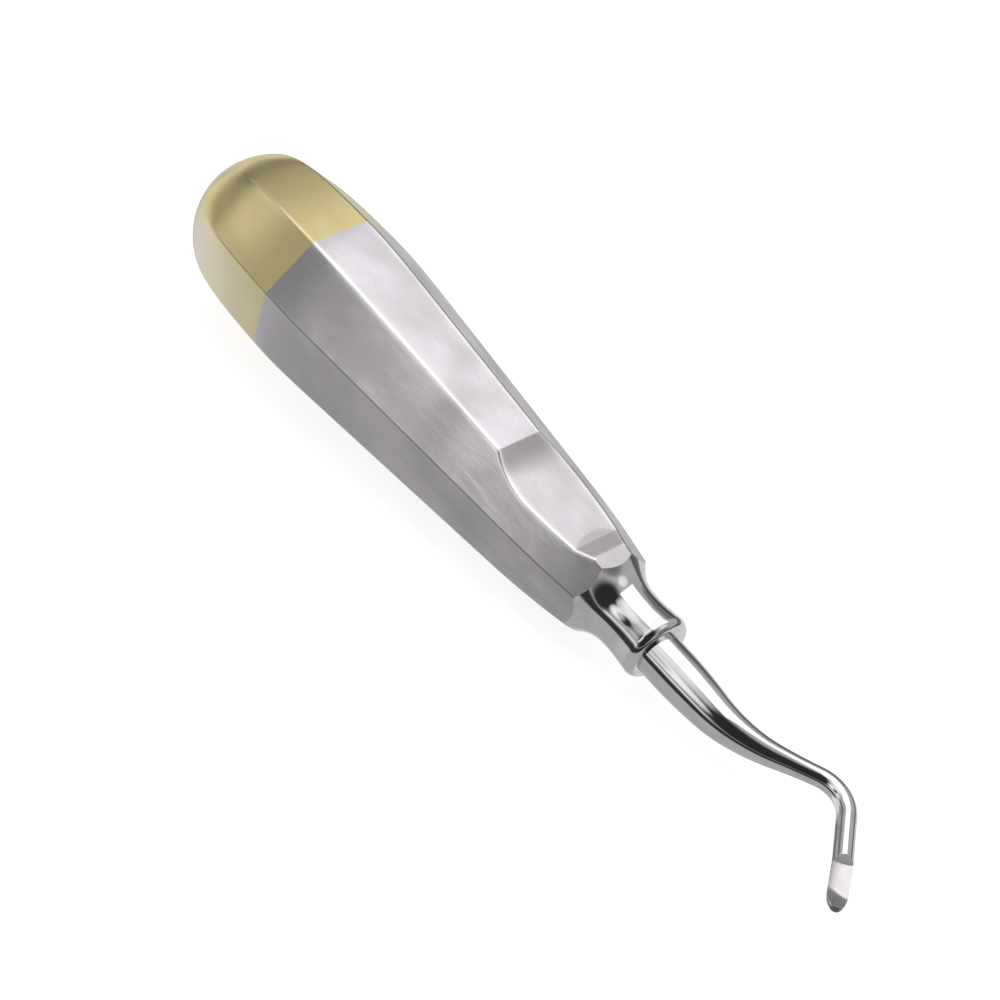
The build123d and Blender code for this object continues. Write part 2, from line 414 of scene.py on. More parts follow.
def flank_share(point):
    """Share of the painted pale sheen on the gold: most on the near side by the butt, little on
    the far side.
    """
    x, y, z = point
    reach = max((y * y + z * z) ** 0.5, FLANK_LEAST_REACH)
    facing = (y * cos(FULL_GOLD_ANGLE) + z * sin(FULL_GOLD_ANGLE)) / reach
    near = share_past(-2 * y / reach, 0.0, 1.0)
    along = share_past(x, FLANK_FROM, CAP_LENGTH - FLANK_FROM)
    pale = (FLANK_FAR_SHARE + (1 - FLANK_FAR_SHARE) * near) * (1 - FLANK_DROP * along)
    return share_past(facing, FLANK_LIMIT, -FLANK_FADE) * pale


def build_cap():
    """Domed cap as a closed shell."""
    outer_xs = BUTT_XS + list(np.linspace(NOSE_LENGTH, CAP_LENGTH, CAP_SIDE_STEPS))[1:]
    turns = np.linspace(0, 90, INNER_NOSE_STEPS)[1:]
    inner_xs = [NOSE_LENGTH - (NOSE_LENGTH - WALL) * cos(radians(a)) for a in turns]
    inner_xs.append(CAP_LENGTH)
    rings = [handle_ring(x) for x in outer_xs]
    rings += [handle_ring(x, WALL) for x in reversed(inner_xs)]
    points, faces = skin_of_rings(rings, (0, 0, 0), (WALL, 0, 0))
    ring_wear = CAP_WEAR * np.array([ridge_wear(i) for i in range(SIDES * PER_SIDE)])
    wear = [float(w) for fade in ridge_fade(rings) for w in fade * ring_wear] + [0.0, 0.0]
    # Painted pale sheen on the cap, as a share per point
    flank = [flank_share(p) for p in points]
    return build(
        "gold_end_cap", points, faces, "gold_plate", ["end_cap"], wear=wear, flank=flank
    )


def shell_stations():
    """Stations along the shells, close together at the thumb rest."""
    return sorted(set(float(x) for run in SHELL_RUNS for x in np.linspace(*run)))


def build_shell(name, first_side, node):
    """One pressed half shell: four facets, closed inside and at its ends."""
    start = first_side * PER_SIDE
    picks = [(start + i) % (SIDES * PER_SIDE) for i in range(SIDES // 2 * PER_SIDE + 1)]
    half = len(picks)
    inside = [0.0] * half
    wear_once = [ridge_wear(i) for i in picks] + inside
    rings, wear, painted_shade, handled = [], [], [], []
    for x in shell_stations():
        outer = handle_ring(x)[picks]
        rings.append(np.concatenate((outer, handle_ring(x, WALL)[picks][::-1])))
        wear += wear_once
        # Painted shade on the facets, as a share per point
        painted_shade += [painted_shade_share(i, p) for i, p in zip(picks, outer)] + inside
        handled += [handled_share(i, x) for i in picks] + inside
    points, faces = skin_of_rings(rings)
    count = 2 * half
    last = (len(rings) - 1) * count
    for i in range(half - 1):
        faces.append((i, count - 1 - i, count - 2 - i, i + 1))
        faces.append((last + i, last + i + 1, last + count - 2 - i, last + count - 1 - i))
    finish = {"wear": wear, "painted_shade": painted_shade, "handled": handled}
    return build(name, points, faces, "satin_steel", [node], **finish)


# ---------------------------------------------------------------- neck
def flare_radius(x):
    """Radius of the turned neck between its flare and its rim."""
    return hermite(x, FLARE_X, FLARE_RADIUS, FLARE_SLOPE)


def octagon_reach(x, angle):
    """Distance from the axis to the octagon's edge at x, in the direction of angle."""
    height = facet_height(x)
    side = (angle + pi / SIDES) % (2 * pi / SIDES) - pi / SIDES
    ridge = pi / SIDES - abs(side)
    centre = (height - RIDGE_ROUND) / cos(pi / SIDES)
    flat_from = np.arctan2(RIDGE_ROUND * sin(pi / SIDES), centre + RIDGE_ROUND * cos(pi / SIDES))
    if ridge < flat_from:
        return centre * cos(ridge) + (RIDGE_ROUND**2 - (centre * sin(ridge)) ** 2) ** 0.5
    return height / cos(side)


def flare_start(angle):
    """Where the flare leaves the facets in the direction of angle."""
    low, high = SHELL_END, FLARE_X[1]
    for _ in range(HALVINGS):
        x = (low + high) / 2
        flare = flare_radius(x)
        if x < FLARE_X[0]:
            flare = FLARE_RADIUS[0] + FLARE_SLOPE[0] * (x - FLARE_X[0])
        if flare > octagon_reach(x, angle):
            low = x
        else:
            high = x
    return low


def polar_ring(x, radius, angles):
    """Round ring at x, with a point in each direction."""
    return np.array([(x, radius * cos(a), radius * sin(a)) for a in angles])


def shaped_ring(xs, radii, angles):
    """Ring whose place and radius differ in each direction."""
    return np.array([(x, r * cos(a), r * sin(a)) for x, r, a in zip(xs, radii, angles)])


def neck_outside(angles):
    """Rings of the neck's outside: facet ends, flare, waist and rolled rim."""
    starts = [flare_start(a) for a in angles]
    rings = []
    for share in np.linspace(0, 1, ROOT_RINGS):
        xs = [SHELL_END + share * (start - SHELL_END) for start in starts]
        rings.append(shaped_ring(xs, [octagon_reach(x, a) for x, a in zip(xs, angles)], angles))
    for share in np.linspace(0, 1, FLARE_RINGS)[1:] ** FLARE_BUNCHING:
        xs = [start + share * (RIM_EDGE[0] - start) for start in starts]
        rings.append(shaped_ring(xs, [flare_radius(x) for x in xs], angles))
    run, rise = NECK_FACE[0] - RIM_EDGE[0], RIM_EDGE[1] - NECK_FACE[1]
    for turn in np.linspace(0, 90, RIM_RINGS)[1:]:
        x = RIM_EDGE[0] + run * sin(radians(turn))
        rings.append(polar_ring(x, NECK_FACE[1] + rise * cos(radians(turn)), angles))
    return rings


def build_neck():
    """Turned neck: its outside, its face and bore, and the spigot in the handle."""
    flat = section(SHELL_END)
    angles = np.arctan2(flat[:, 1], flat[:, 0])
    rings = [polar_ring(SHELL_END, SPIGOT_RADIUS, angles)]
    rings += neck_outside(angles)
    rings += [polar_ring(NECK_FACE[0], r, angles) for r in (*FACE_RADII, BORE_RADIUS)]
    rings.append(polar_ring(SPIGOT_START, BORE_RADIUS, angles))
    rings.append(polar_ring(SPIGOT_START, SPIGOT_RADIUS, angles))
    points, faces = skin_of_rings(rings, looped=True)
    return build("polished_neck", points, faces, "polished_steel", ["neck_bolster"])


# ---------------------------------------------------------------- working end
def bend_path():
    """The path as a list of (length, start, direction, turn per mm), corners rounded."""
    corners = [np.array(p) for p in PATH]
    runs = []
    at = corners[0]
    for k, radius in enumerate(PATH_RADII):
        before = corners[k + 1] - corners[k]
        before /= np.linalg.norm(before)
        after = corners[k + 2] - corners[k + 1]
        after /= np.linalg.norm(after)
        cross = before[0] * after[1] - before[1] * after[0]
        turn = np.arctan2(cross, before @ after)
        cut = radius * np.tan(abs(turn) / 2)
        straight_end = corners[k + 1] - cut * before
        runs.append((np.linalg.norm(straight_end - at), at, before, 0.0))
        runs.append((radius * abs(turn), straight_end, before, np.sign(turn) / radius))
        at = corners[k + 1] + cut * after
    runs.append((np.linalg.norm(corners[-1] - at), at, after, 0.0))
    return runs


def on_path(runs, distance):
    """Point and direction in the bend plane at a distance along the path."""
    for run in runs:
        length, start, heading, curve = run
        if distance <= length or run is runs[-1]:
            break
        distance -= length
    if curve == 0.0:
        return start + distance * heading, heading
    angle = distance * curve
    left = np.array((-heading[1], heading[0]))
    point = start + (sin(angle) * heading + (1 - cos(angle)) * left) / curve
    return point, cos(angle) * heading + sin(angle) * left


def shank_radius(distance):
    """Radius of the round shank, easing from the root to the slim part."""
    ratio = np.clip((distance - TAPER_FROM) / (TAPER_TO - TAPER_FROM), 0, 1)
    return ROOT_RADIUS + (SLIM_RADIUS - ROOT_RADIUS) * (1 - cos(pi * ratio)) / 2


def line_height(back, start, end):
    """Height at a distance back from the tip on the line through two spoon points."""
    return start[1] + (back - start[0]) * (end[1] - start[1]) / (end[0] - start[0])


def spoon_height(back, y):
    """Height of the scooped floor at a distance back from the tip."""
    slanted = back + CREASE_SLANT * y
    entry, floor = [line_height(back, *SPOON_LINE[i : i + 2]) for i in range(2)]
    ramp = line_height(slanted, *SPOON_LINE[2:])
    height = -soft_min(-entry, -floor, SPOON_BLEND[0])
    height = -soft_min(-height, -ramp, SPOON_BLEND[1])
    groove_share = share_past(slanted, SPOON_LINE[2][0], -GROOVE_FADE)
    height -= GROOVE_DEPTH * groove_share * (0.5 + 0.5 * cos(2 * pi * y / GROOVE_PITCH))
    reach = SPOON_AXIS_HEIGHT - height
    if reach < abs(y) + SPOON_MARGIN:
        return SPOON_AXIS_HEIGHT
    return SPOON_AXIS_HEIGHT - (reach**2 - y * y) ** 0.5


def painted_blade_shade(angle, into_blade, ground):
    """Share of the painted shade: both sides of the blade and its stem, and the very tip."""
    across = share_past(abs(cos(angle)), SIDE_FROM, SIDE_RAMP)
    along = share_past(into_blade, SHADE_START, SHADE_RAMP)
    tip = share_past(into_blade - BLADE_LENGTH + TIP_SHADE_LENGTH, 0.0, TIP_SHADE_RAMP)
    return float(max(across * along * (1 - ground), tip))


def blade_form(distance, total):
    """Half width, half height, middle height and width limit of the shank or the blade."""
    radius = shank_radius(distance)
    into_blade = distance - (total - BLADE_LENGTH)
    if into_blade <= 0:
        return radius, radius, 0.0, radius
    ratio = into_blade / BLADE_LENGTH
    widening = (BLADE_HALF_WIDTH - SLIM_RADIUS) * min(1.0, BLADE_WIDEN_SHARE * ratio)
    half_width = radius + widening
    top = SLIM_RADIUS + (BLADE_TIP_TOP - SLIM_RADIUS) * ratio**2
    low = -SLIM_RADIUS + (BLADE_TIP_BACK + SLIM_RADIUS) * ratio**2
    back = total - distance
    limit = half_width
    if back < TIP_ROUND_LENGTH:
        limit = BLADE_HALF_WIDTH * (1 - (1 - back / TIP_ROUND_LENGTH) ** 2) ** 0.5
    return half_width, (top - low) / 2, (top + low) / 2, limit


def scooped(z, y, back, lowest):
    """Height after scooping, and the share of ground finish there."""
    y = max(-SPOON_HALF_WIDTH, min(SPOON_HALF_WIDTH, y))
    floor = max(spoon_height(back, y), lowest)
    ground = min(1.0, max(0.0, (z - floor) / GROUND_RAMP))
    return float(soft_min(z, floor, SPOON_EDGE_BLEND)), ground


def working_ring(runs, total, distance):
    """Section of the shank or the blade as points (x, y, z, ground, shaded, matte)."""
    centre, heading = on_path(runs, distance)
    side = np.array((-heading[1], heading[0]))
    into_blade = distance - (total - BLADE_LENGTH)
    back = total - distance
    half_width, half_height, middle, limit = blade_form(distance, total)
    ring = []
    for angle in AROUND_ANGLES:
        y = max(-limit, min(limit, half_width * cos(angle)))
        z = middle + half_height * sin(angle)
        ground = 0.0
        if into_blade > -SPOON_LEAD and z > middle:
            z, ground = scooped(z, y, back, middle - half_height + BLADE_MIN_THICKNESS)
        flat = centre + y * side
        matte = ground if back > SPOON_LINE[1][0] else 0.0
        ring.append((flat[0], flat[1], z, ground, painted_blade_shade(angle, into_blade, ground), matte))
    return np.array(ring)


def working_distances(total):
    """Distances of the sections along the shank, closer in the blade and closest at its tip."""
    shank_end, tip_start = total - BLADE_FROM, total - TIP_FROM
    turns = np.linspace(0, TIP_LAST_ANGLE, TIP_STEPS)[1:]
    distances = list(np.linspace(0, shank_end, SHANK_STEPS))
    distances += list(np.linspace(shank_end, tip_start, BLADE_STEPS))[1:]
    return distances + [tip_start + TIP_FROM * sin(radians(a)) for a in turns]


def build_working_end():
    """Tang, bent shank and spoon blade as one closed skin."""
    runs = bend_path()
    total = sum(run[0] for run in runs)
    rings = []
    for x, radius in TANG:
        round_ring = polar_ring(x, radius, AROUND_ANGLES)
        rings.append(np.column_stack((round_ring, np.zeros((AROUND, 3)))))
    rings += [working_ring(runs, total, d) for d in working_distances(total)]
    finish = {}
    for column, (name, at_tip) in enumerate((("ground", 0.0), ("shaded", 1.0), ("matte", 0.0))):
        shares = [float(p[3 + column]) for ring in rings for p in ring]
        finish[name] = shares + [0.0, at_tip]
    end, _ = on_path(runs, total)
    poles = (TANG[0][0], 0, 0), (end[0], end[1], BLADE_TIP_MIDDLE)
    points, faces = skin_of_rings([ring[:, :3] for ring in rings], *poles)
    return build("shank_and_blade", points, faces, "polished_steel", ["working_end"], **finish)


cap = build_cap()
upper = build_shell("upper_shell", 0, "handle_shell_upper")
lower = build_shell("lower_shell", 4, "handle_shell_lower")
neck = build_neck()
shank = build_working_end()


# ---------------------------------------------------------------- materials
# Noise cells per metre, along the handle and across it
CLOUD_CELLS = (75, 110, 110)
GRAIN_CELLS = (90, 5200, 5200)
SPECKLE_CELLS = (2600, 2600, 2600)
NICK_CELLS = (28, 1700, 1700)
RUBBED_CELLS = (60, 120, 120)
SMUDGE_CELLS = (45, 420, 420)
POLISH_LINE_CELLS = (300, 2600, 2600)
WAVE_CELLS = (160, 260, 260)
TARNISH_CELLS = (240, 420, 420)
GRIND_CELLS = (500, 500, 500)
TOOL_MARK_CELLS = (9000, 300, 300)

# Noise values between which each mark comes in
CLOUD_SPAN = (0.34, 0.68)
WEAR_SPAN = (0.2, 0.6)
ROUGH_SPAN = (0.3, 0.7)
NICK_SPAN = (0.63, 0.72)
RUBBED_SPAN = (0.42, 0.6)
SMUDGE_SPAN = (0.5, 0.66)
TARNISH_SPAN = (0.35, 0.6)
POLISH_LINE_SPAN = (0.35, 0.7)
CLOUD_DISTORTION = 0.3
GRIND_DISTORTION = 1.5

# How much of each mark shows
# How dark the painted shade on the handle is
PAINTED_SHADE_TONE = 0.72
SMUDGE_TONE = 0.7
SMUDGE_MOST = 0.55
SCRATCH_SHARE = 0.8
WEAR_LEAST = 0.6
WORN_POLISH = 0.08
GRIND_LEAST = 0.85
TARNISH_TONE = 0.9
GRIND_TONE = 0.8
MATTE_TONE = 1.25
# How dark the painted shade on the blade is; metallic left under it and in the matte entry
SHADED_TONE = 0.15
DULL_METALLIC = 0.3

# Change of roughness by each mark
CLOUD_ROUGHNESS = 0.03
POLISH_LINE_ROUGHNESS = (-0.02, 0.03)
TOOL_MARK_ROUGHNESS = (-0.05, 0.08)

# Relief as (strength, height in metres)
CLOUD_RELIEF = (0.03, 0.0001)
WAVE_RELIEF = (0.12, 0.0001)
POLISH_LINE_RELIEF = (0.04, 0.000006)
TOOL_MARK_RELIEF = (0.15, 0.00001)
FINE_HEIGHT = 0.00001


def toned(colour, tone):
    """A colour made darker or paler by one factor."""
    return tuple(tone * part for part in colour)


class Metal:
    """A metal material with a few shorthand node calls."""

    def __init__(self, name, colour, roughness):
        self.material = bpy.data.materials.new(name)
        self.material.use_nodes = True
        self.tree = self.material.node_tree
        self.shader = self.tree.nodes["Principled BSDF"]
        self.shader.inputs["Base Color"].default_value = (*colour, 1)
        self.shader.inputs["Metallic"].default_value = 1.0
        self.shader.inputs["Roughness"].default_value = roughness

    def node(self, kind, **values):
        """A new node, with its settings and its sockets' values set by name."""
        node = self.tree.nodes.new(kind)
        for key, value in values.items():
            if hasattr(node, key):
                setattr(node, key, value)
            else:
                node.inputs[key].default_value = value
        return node

    def link(self, source, target):
        """Link a socket to another, or to a socket of the shader given by its name."""
        if isinstance(target, str):
            target = self.shader.inputs[target]
        self.tree.links.new(source, target)

    def handle_coordinates(self, cells):
        """Object coordinates turned to the handle's axis, scaled by cells in X, Y and Z."""
        place = self.node("ShaderNodeTexCoord").outputs["Object"]
        turn = self.node("ShaderNodeMapping", Rotation=(0, -atan(TAPER_SLOPE), 0))
        self.link(place, turn.inputs["Vector"])
        scale = self.node("ShaderNodeVectorMath", operation="MULTIPLY")
        scale.inputs[1].default_value = cells
        self.link(turn.outputs["Vector"], scale.inputs[0])
        return scale.outputs["Vector"]

    def noise(self, cells, detail, distortion=0.0):
        """Noise with cells of a given size along and across the handle."""
        node = self.node(
            "ShaderNodeTexNoise", Scale=1.0, Detail=detail, Roughness=0.5, Distortion=distortion
        )
        self.link(self.handle_coordinates(cells), node.inputs["Vector"])
        return node.outputs["Fac"]

    def remap(self, source, span, to=(0.0, 1.0)):
        """Ease a value from one range to another."""
        node = self.node("ShaderNodeMapRange", interpolation_type="SMOOTHSTEP")
        for key, value in zip(("From Min", "From Max", "To Min", "To Max"), (*span, *to)):
            node.inputs[key].default_value = value
        self.link(source, node.inputs["Value"])
        return node.outputs["Result"]

    def combine(self, operation, first, second):
        """One arithmetic step between two values, each given as a number or as a socket."""
        node = self.node("ShaderNodeMath", operation=operation)
        for source, socket in ((first, node.inputs[0]), (second, node.inputs[1])):
            if isinstance(source, (int, float)):
                socket.default_value = source
            else:
                self.link(source, socket)
        return node.outputs[0]

    def share(self, name):
        """A finish share stored on the piece's points."""
        return self.node("ShaderNodeAttribute", attribute_name=name).outputs["Fac"]

    def blend(self, share, low, high):
        """Colour between two colours, each given as numbers or as a socket."""
        node = self.node("ShaderNodeMix", data_type="RGBA")
        for source, socket in ((low, node.inputs[6]), (high, node.inputs[7])):
            if isinstance(source, tuple):
                socket.default_value = (*source, 1)
            else:
                self.link(source, socket)
        self.link(share, node.inputs[0])
        return node.outputs[2]

    def bump(self, heights):
        """Stack bumps given as (height, strength, distance in metres)."""
        normal = None
        for height, strength, distance in heights:
            node = self.node("ShaderNodeBump", Strength=strength, Distance=distance)
            self.link(height, node.inputs["Height"])
            if normal is not None:
                self.link(normal, node.inputs["Normal"])
            normal = node.outputs["Normal"]
        self.link(normal, "Normal")


def handling_marks(metal):
    """Shares of the scratches and of the smudges left by handling."""
    nicks = metal.remap(metal.noise(NICK_CELLS, detail=1), NICK_SPAN)
    rubbed = metal.remap(metal.noise(RUBBED_CELLS, detail=1), RUBBED_SPAN)
    handled = metal.share("handled")
    scratches = metal.combine("MULTIPLY", nicks, metal.combine("MULTIPLY", rubbed, handled))
    patches = metal.remap(metal.noise(SMUDGE_CELLS, detail=2), SMUDGE_SPAN, (0.0, SMUDGE_MOST))
    return scratches, metal.combine("MULTIPLY", patches, handled)


def satin_metal(name, dark, pale, roughness, brushing, worn, flank=None):
    """Bead-blasted and brushed metal: cloudy patches, grain along the handle, worn ridges."""
    metal = Metal(name, pale, roughness)
    clouds = metal.noise(CLOUD_CELLS, detail=2, distortion=CLOUD_DISTORTION)
    grain = metal.noise(GRAIN_CELLS, detail=2)
    speckle = metal.noise(SPECKLE_CELLS, detail=1)
    scratches, smudges = handling_marks(metal)
    patchy = metal.remap(clouds, WEAR_SPAN, (WEAR_LEAST, 1.0))
    wear = metal.combine("MULTIPLY", metal.share("wear"), patchy)
    colour = metal.blend(metal.remap(clouds, CLOUD_SPAN), dark, pale)
    # Painted pale sheen: a paler colour where the gold faces away from FULL_GOLD_ANGLE
    if flank is not None:
        colour = metal.blend(metal.share("flank"), colour, flank)
    # Painted shade: darker colour beside the plating and at both ends of the thumb rest
    colour = metal.blend(metal.share("painted_shade"), colour, toned(dark, PAINTED_SHADE_TONE))
    colour = metal.blend(smudges, colour, toned(dark, SMUDGE_TONE))
    bright = metal.combine("MAXIMUM", wear, metal.combine("MULTIPLY", scratches, SCRATCH_SHARE))
    metal.link(metal.blend(bright, colour, worn), "Base Color")
    ends = (roughness + CLOUD_ROUGHNESS, roughness - CLOUD_ROUGHNESS)
    rough = metal.remap(clouds, ROUGH_SPAN, ends)
    brushed = metal.remap(grain, ROUGH_SPAN, (-brushing / 2, brushing / 2))
    rough = metal.combine("ADD", rough, brushed)
    rough = metal.combine("SUBTRACT", rough, metal.combine("MULTIPLY", wear, WORN_POLISH))
    metal.link(rough, "Roughness")
    metal.bump([
        (clouds, *CLOUD_RELIEF),
        (grain, brushing, FINE_HEIGHT),
        (speckle, brushing / 2, FINE_HEIGHT),
    ])
    return metal.material


def polished_metal(name, colour, roughness, ground_colour, ground_roughness):
    """Mirror-polished metal: polishing lines and slight waviness, streaks where it is ground."""
    metal = Metal(name, colour, roughness)
    lines = metal.noise(POLISH_LINE_CELLS, detail=2)
    waves = metal.noise(WAVE_CELLS, detail=1)
    tarnish = metal.remap(metal.noise(TARNISH_CELLS, detail=3), TARNISH_SPAN)
    grinding = metal.noise(GRIND_CELLS, detail=3, distortion=GRIND_DISTORTION)
    streaks = metal.remap(grinding, ROUGH_SPAN, (GRIND_LEAST, 1.0))
    ground, matte, shaded = [metal.share(key) for key in ("ground", "matte", "shaded")]
    tone = metal.blend(tarnish, toned(colour, TARNISH_TONE), colour)
    streaked = metal.blend(streaks, toned(ground_colour, GRIND_TONE), ground_colour)
    tone = metal.blend(ground, tone, streaked)
    tone = metal.blend(matte, tone, toned(colour, MATTE_TONE))
    # Painted shade at the sides and the tip of the blade: a much darker colour
    tone = metal.blend(shaded, tone, toned(colour, SHADED_TONE))
    metal.link(tone, "Base Color")
    # Less metallic under the painted shade and in the matte entry of the scoop
    dull = metal.combine("MAXIMUM", shaded, matte)
    metal.link(metal.remap(dull, (0.0, 1.0), (1.0, DULL_METALLIC)), "Metallic")
    ends = [roughness + change for change in POLISH_LINE_ROUGHNESS]
    rough = metal.remap(lines, POLISH_LINE_SPAN, ends)
    rougher = metal.combine("MULTIPLY", ground, ground_roughness - roughness)
    metal.link(metal.combine("ADD", rough, rougher), "Roughness")
    metal.bump([(waves, *WAVE_RELIEF), (lines, *POLISH_LINE_RELIEF)])
    return metal.material


def machined_metal(name, colour, roughness):
    """Plain turned metal, with rings of fine tool marks."""
    metal = Metal(name, colour, roughness)
    marks = metal.noise(TOOL_MARK_CELLS, detail=2)
    ends = [roughness + change for change in TOOL_MARK_ROUGHNESS]
    metal.link(metal.remap(marks, ROUGH_SPAN, ends), "Roughness")
    metal.bump([(marks, *TOOL_MARK_RELIEF)])
    return metal.material


def paint(piece, material):
    """Give a piece one material."""
    piece.data.materials.clear()
    piece.data.materials.append(material)


satin = satin_metal(
    "satin_steel",
    dark=(0.54, 0.52, 0.54),
    pale=(0.65, 0.625, 0.65),
    roughness=0.3,
    brushing=0.06,
    worn=(0.82, 0.8, 0.82),
)
gold = satin_metal(
    "gold_plate",
    dark=(0.69, 0.59, 0.275),
    pale=(0.76, 0.65, 0.33),
    roughness=0.27,
    brushing=0.015,
    worn=(0.8, 0.71, 0.42),
    # Colour of the painted pale sheen on the cap
    flank=(0.67, 0.615, 0.5),
)
polish = polished_metal(
    "polished_steel",
    colour=(0.76, 0.745, 0.75),
    roughness=0.06,
    ground_colour=(0.68, 0.66, 0.68),
    ground_roughness=0.28,
)
plain = machined_metal("inner_steel", colour=(0.5, 0.5, 0.5), roughness=0.4)
paint(cap, gold)
paint(upper, satin)
paint(lower, satin)
paint(neck, polish)
neck.data.materials.append(satin)
for face in neck.data.polygons[: ROOT_RINGS * SIDES * PER_SIDE]:
    face.material_index = 1
paint(shank, polish)
for node in ("cap_backing_ring", "tang_steady_plug", "tang_cross_pin"):
    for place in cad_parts[node].material_slots:
        place.material = plain


# ---------------------------------------------------------------- stage
FLOOR_HALF = 3.0
FLOOR_COLOUR = (0.6, 0.6, 0.6, 1)
FLOOR_ROUGHNESS = 0.9
FLOOR_GLOW = 0.8

# Soft box over the object: place, target, size and brightness
BOX_PLACE = (-0.2, 0.3, 0.7)
BOX_TARGET = (-0.2, 0.3, 0.0)
BOX_SIZE = (0.6, 0.8)
BOX_RADIANCE = 0.92

# Camera, in the handle's axis frame and in millimetres
CAMERA_SENSOR = 36.0
CAMERA_LENS = 126.0
CAMERA_NEAR = 0.01
CAMERA_PLACE = (281.5, -280.9, 364.8)
CAMERA_RIGHT = (0.61667, 0.75544, 0.22141)
CAMERA_DOWN = (0.66824, -0.35367, -0.6545)
CAMERA_FORWARD = (-0.41613, 0.55157, -0.72292)

# Brightness of the room by direction. A ramp is (component of the direction, where it starts,
# where it ends, brightness before, brightness after), and the ramps of a region multiply.
WALL_LEVEL = 0.5
UNLIT_LEVEL = 0.03
ROOM_TINT = (1.0, 0.99, 1.0, 1)
BENCH = ("y", 0.0, 0.5, 0.49, 0.76)
BENCH_BY_BUTT = (("x", -0.66, -0.48, 0.45, 0.0), ("y", 0.0, 0.3, 1.0, 0.0))
UNLIT_RISE = ("z", 0.1, 0.26, 0.0, 1.0)
WALL_BY_BUTT = (("z", 0.08, 0.25, 0.45, 0.0), ("x", -0.66, -0.48, 1.0, 0.0))
SHELF = (
    ("z", 0.2, 0.32, 0.0, 0.3),
    ("z", 0.46, 0.58, 1.0, 0.0),
    ("x", -0.76, -0.64, 1.0, 0.0),
)
SILL = (
    ("z", 0.2, 0.24, 0.0, 0.6),
    ("z", 0.26, 0.3, 1.0, 0.0),
    ("y", -0.5, -0.3, 1.0, 0.0),
    ("x", -0.1, 0.1, 1.0, 0.0),
)
BENCH_EDGE_HEIGHT = (("z", -0.22, -0.12, 0.0, 1.0), ("z", 0.1, 0.2, 1.0, 0.0))
BENCH_EDGE_SPREAD = (("x", -0.8, -0.65, 0.0, 1.0), ("y", -0.3, 0.3, 0.92, 0.75))
HORIZON = ("z", -0.03, 0.03, 0.0, 1.0)

# Round patches: (azimuth, elevation, full within, none past, brightness), in degrees
UNLIT_PATCH = (-58, 42, 26, 48, 1.0)
BRIGHT_PATCHES = (
    (-137, 30, 3, 14, 0.45),
    (-106, 38, 3, 16, 0.95),
    (-125, 62, 8, 20, 0.6),
    (45, 56, 7, 17, 0.5),
)
DIM_PATCHES = (
    (22, 24, 6, 24, 0.3),
    (120, 14, 8, 22, 0.3),
    (-120, 36, 4, 11, 0.7),
)


def build_floor():
    """Plain pale floor, which doesn't show in reflections."""
    mesh = bpy.data.meshes.new("floor")
    half = FLOOR_HALF
    corners = [(-half, -half, 0), (half, -half, 0), (half, half, 0), (-half, half, 0)]
    mesh.from_pydata(corners, [], [(0, 1, 2, 3)])
    floor = bpy.data.objects.new("floor", mesh)
    bpy.context.scene.collection.objects.link(floor)
    material = bpy.data.materials.new("floor")
    material.use_nodes = True
    shader = material.node_tree.nodes["Principled BSDF"]
    shader.inputs["Base Color"].default_value = FLOOR_COLOUR
    shader.inputs["Roughness"].default_value = FLOOR_ROUGHNESS
    shader.inputs["Emission Color"].default_value = (1, 1, 1, 1)
    shader.inputs["Emission Strength"].default_value = FLOOR_GLOW
    floor.data.materials.append(material)
    floor.visible_glossy = False


def build_soft_box():
    """A soft box of a given brightness, facing its target."""
    data = bpy.data.lights.new("overhead_soft_box", "AREA")
    data.shape = "RECTANGLE"
    data.size, data.size_y = BOX_SIZE
    data.energy = BOX_RADIANCE * pi * BOX_SIZE[0] * BOX_SIZE[1]
    light = bpy.data.objects.new("overhead_soft_box", data)
    light.location = BOX_PLACE
    facing = Vector(BOX_TARGET) - Vector(BOX_PLACE)
    light.rotation_euler = facing.to_track_quat("-Z", "Y").to_euler()
    bpy.context.scene.collection.objects.link(light)


def build_camera():
    """Camera over the near side of the blade's end, looking back at the handle."""
    data = bpy.data.cameras.new("camera")
    data.sensor_width = CAMERA_SENSOR
    data.lens = CAMERA_LENS
    data.clip_start = CAMERA_NEAR
    data.dof.use_dof = False
    camera = bpy.data.objects.new("camera", data)
    turn = PLACE.to_3x3().normalized()
    directions = (Vector(CAMERA_RIGHT), -Vector(CAMERA_DOWN), -Vector(CAMERA_FORWARD))
    matrix = Matrix([turn @ direction for direction in directions]).transposed().to_4x4()
    matrix.translation = PLACE @ Vector(CAMERA_PLACE)
    camera.matrix_world = matrix
    bpy.context.scene.collection.objects.link(camera)
    bpy.context.scene.camera = camera


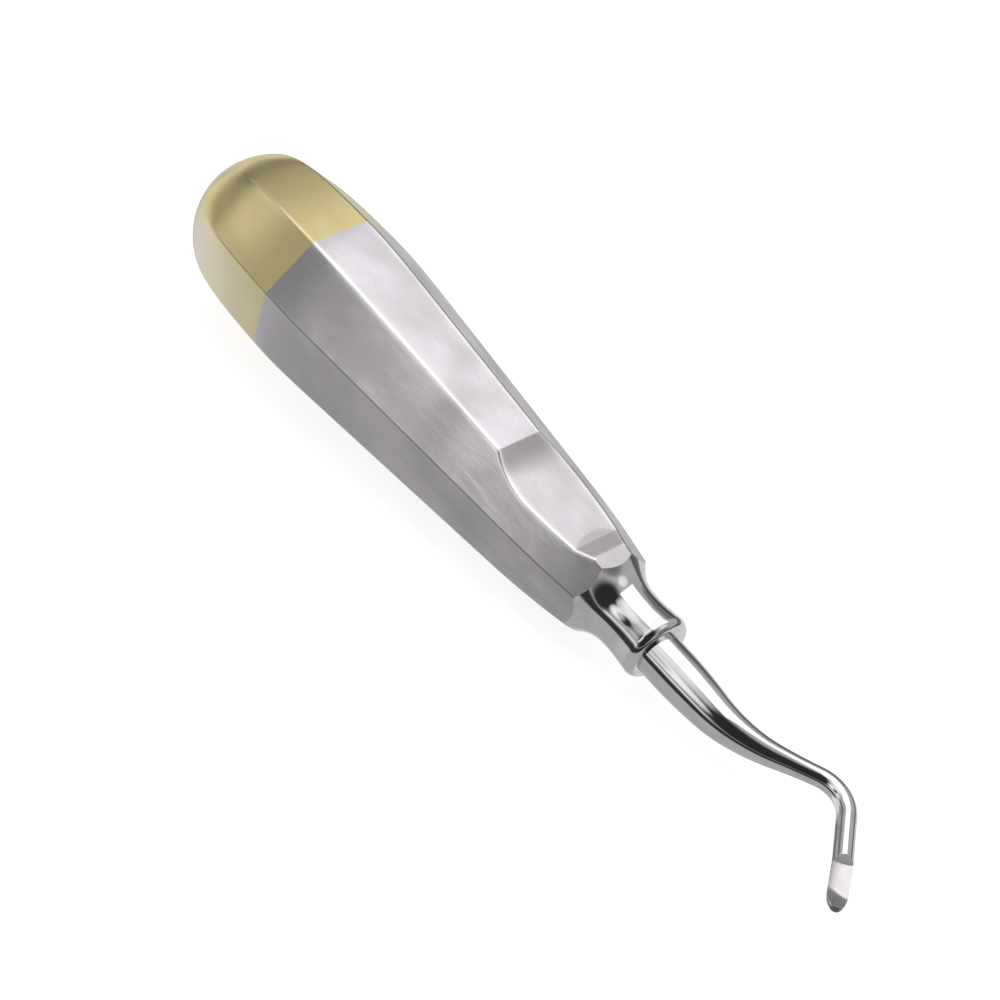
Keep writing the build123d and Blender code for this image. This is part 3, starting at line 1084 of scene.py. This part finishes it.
class Room:
    """World shader whose brightness depends on the direction."""

    def __init__(self):
        self.world = bpy.data.worlds.new("studio")
        self.world.use_nodes = True
        self.nodes = self.world.node_tree.nodes
        self.links = self.world.node_tree.links
        self.direction = self.nodes.new("ShaderNodeTexCoord").outputs["Generated"]
        split = self.nodes.new("ShaderNodeSeparateXYZ")
        self.links.new(self.direction, split.inputs[0])
        self.parts = dict(zip("xyz", split.outputs))

    def set(self, sources, sockets):
        """Give sockets their numbers or links."""
        for source, socket in zip(sources, sockets):
            if isinstance(source, float):
                socket.default_value = source
            else:
                self.links.new(source, socket)

    def ramp(self, source, *ends):
        """Ease a component of the direction, or another value, from one range to another."""
        node = self.nodes.new("ShaderNodeMapRange")
        node.interpolation_type = "SMOOTHSTEP"
        for key, value in zip(("From Min", "From Max", "To Min", "To Max"), ends):
            node.inputs[key].default_value = value
        self.links.new(self.parts.get(source, source), node.inputs["Value"])
        return node.outputs["Result"]

    def mix(self, share, first, second):
        """Brightness between two."""
        node = self.nodes.new("ShaderNodeMix")
        self.set((share, first, second), [node.inputs[key] for key in ("Factor", "A", "B")])
        return node.outputs["Result"]

    def combine(self, operation, first, second):
        """One arithmetic step between two brightnesses."""
        node = self.nodes.new("ShaderNodeMath")
        node.operation = operation
        self.set((first, second), node.inputs)
        return node.outputs[0]

    def region(self, ramps):
        """Product of several ramps."""
        level = self.ramp(*ramps[0])
        for ramp in ramps[1:]:
            level = self.combine("MULTIPLY", level, self.ramp(*ramp))
        return level

    def patch(self, azimuth, elevation, inner, outer, strength):
        """A round patch of the room: full strength within inner degrees, none past outer."""
        node = self.nodes.new("ShaderNodeVectorMath")
        node.operation = "DOT_PRODUCT"
        flat = cos(radians(elevation))
        node.inputs[1].default_value = (
            flat * cos(radians(azimuth)),
            flat * sin(radians(azimuth)),
            sin(radians(elevation)),
        )
        self.links.new(self.direction, node.inputs[0])
        near, far = cos(radians(inner)), cos(radians(outer))
        return self.ramp(node.outputs["Value"], far, near, 0.0, strength)

    def upper(self):
        """Brightness above the horizon: wall, unlit side, patches, shelf and sill."""
        unlit = self.combine("MULTIPLY", self.patch(*UNLIT_PATCH), self.ramp(*UNLIT_RISE))
        level = self.mix(unlit, WALL_LEVEL, UNLIT_LEVEL)
        for patch in BRIGHT_PATCHES:
            level = self.combine("ADD", level, self.patch(*patch))
        for patch in DIM_PATCHES:
            level = self.combine("SUBTRACT", level, self.patch(*patch))
        level = self.combine("ADD", level, self.region(WALL_BY_BUTT))
        level = self.combine("SUBTRACT", level, self.region(SHELF))
        level = self.combine("MAXIMUM", level, UNLIT_LEVEL)
        return self.combine("ADD", level, self.region(SILL))


def build_room():
    """Soft room around the object: grey bench, pale far wall, unlit side behind the camera."""
    room = Room()
    bench = room.combine("ADD", room.ramp(*BENCH), room.region(BENCH_BY_BUTT))
    edge = [room.region(ramps) for ramps in (BENCH_EDGE_HEIGHT, BENCH_EDGE_SPREAD)]
    level = room.mix(room.ramp(*HORIZON), bench, room.upper())
    kept = room.combine("SUBTRACT", 1.0, room.combine("MULTIPLY", *edge))
    background = room.nodes["Background"]
    room.links.new(room.combine("MULTIPLY", level, kept), background.inputs["Strength"])
    background.inputs["Color"].default_value = ROOM_TINT
    bpy.context.scene.world = room.world


build_floor()
build_soft_box()
build_camera()
build_room()
bpy.context.scene.view_settings.view_transform = "Standard"
